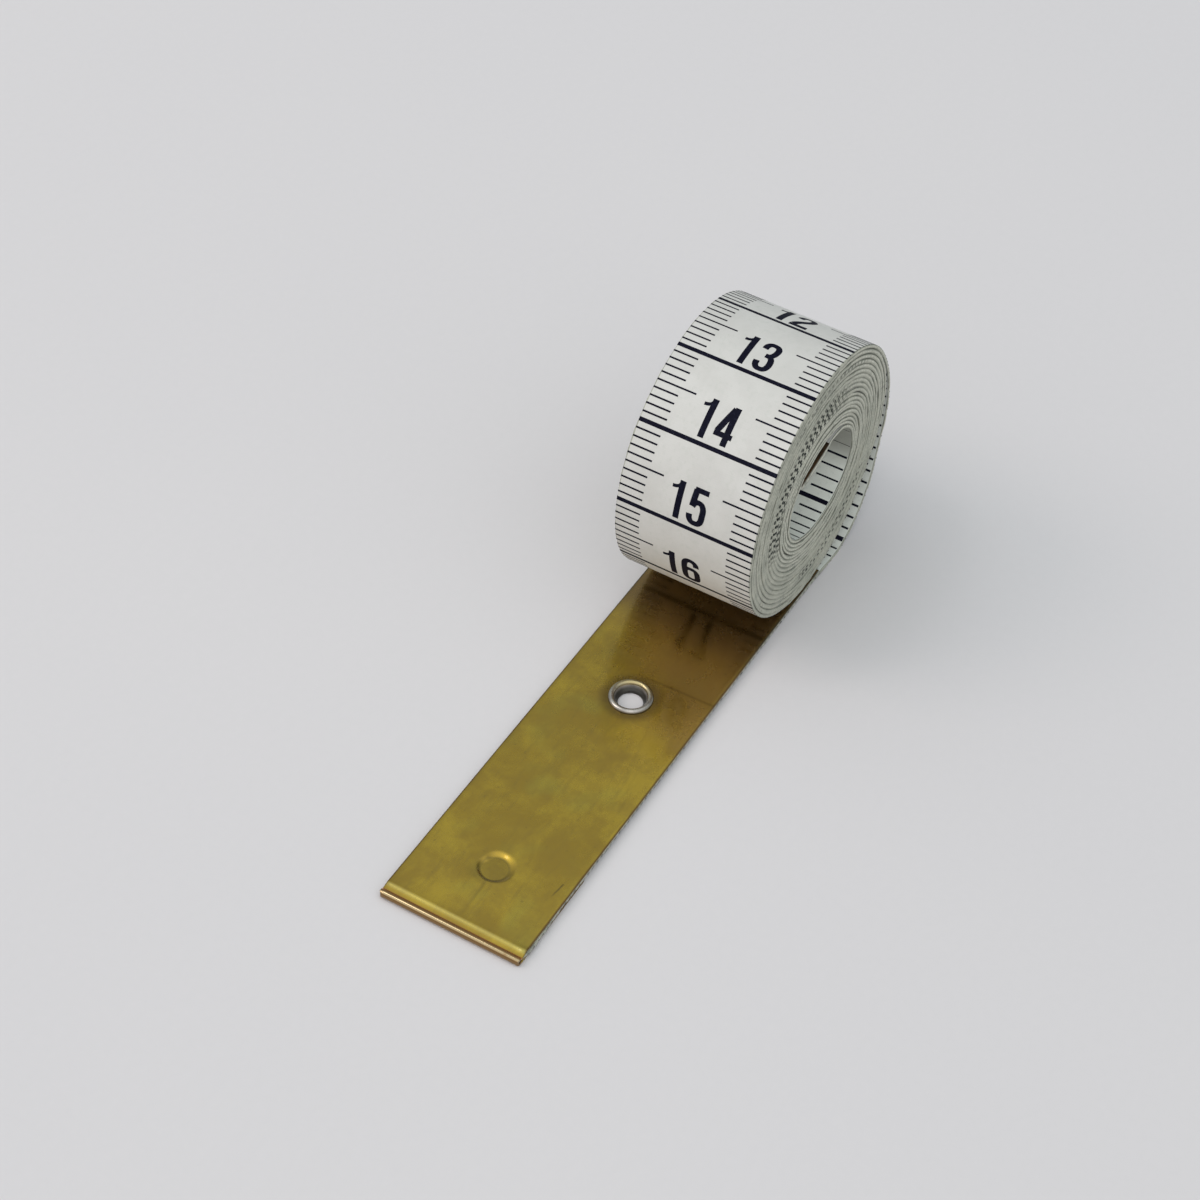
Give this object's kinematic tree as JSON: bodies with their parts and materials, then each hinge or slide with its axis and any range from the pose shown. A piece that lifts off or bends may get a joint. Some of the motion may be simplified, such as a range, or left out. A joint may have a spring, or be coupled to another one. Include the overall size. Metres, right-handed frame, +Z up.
{
  "type": "cloth tape measure",
  "caption": "Tailor's cloth tape measure, rolled up on a long flat brass end stiffener with a folded nose and a hanging eyelet.",
  "frame": {"origin": "middle of the bounding box's underside, on the table under the middle of the whole tape", "axes": "+X runs from the stiffener's folded nose to the roll, +Y across the ribbon, +Z up from the table"},
  "size_m": [0.0874, 0.018, 0.0348],
  "materials": {
    "brass": "polished, slightly tarnished",
    "nickel": "nickel-plated, polished",
    "coated_cloth": "coated cloth, satin, printed in navy black",
    "cloth_edges": "cut edges of the wound cloth, matt"
  },
  "bodies": {
    "flat_end": {"brass_stiffener": "brass", "eyelet": "nickel", "ribbon_under_stiffener": "coated_cloth"},
    "roll": {"ribbon_outer_turn": "coated_cloth", "ribbon_wound_turns": "cloth_edges"},
    "inner_end": {"ribbon_inner_end": "coated_cloth", "inner_end_tab": "brass"}
  },
  "joints": [
    {"name": "roll_rock", "type": "hinge", "parent": "flat_end", "child": "roll", "pos_m": [0.03283, 0, 0.00022], "axis": [0, 1, 0], "range_deg": [0, 20]},
    {"name": "inner_end_swing", "type": "hinge", "parent": "roll", "child": "inner_end", "pos_m": [0.02593, 0, 0.02316], "axis": [0, -1, 0], "range_deg": [0, 30]}
  ]
}
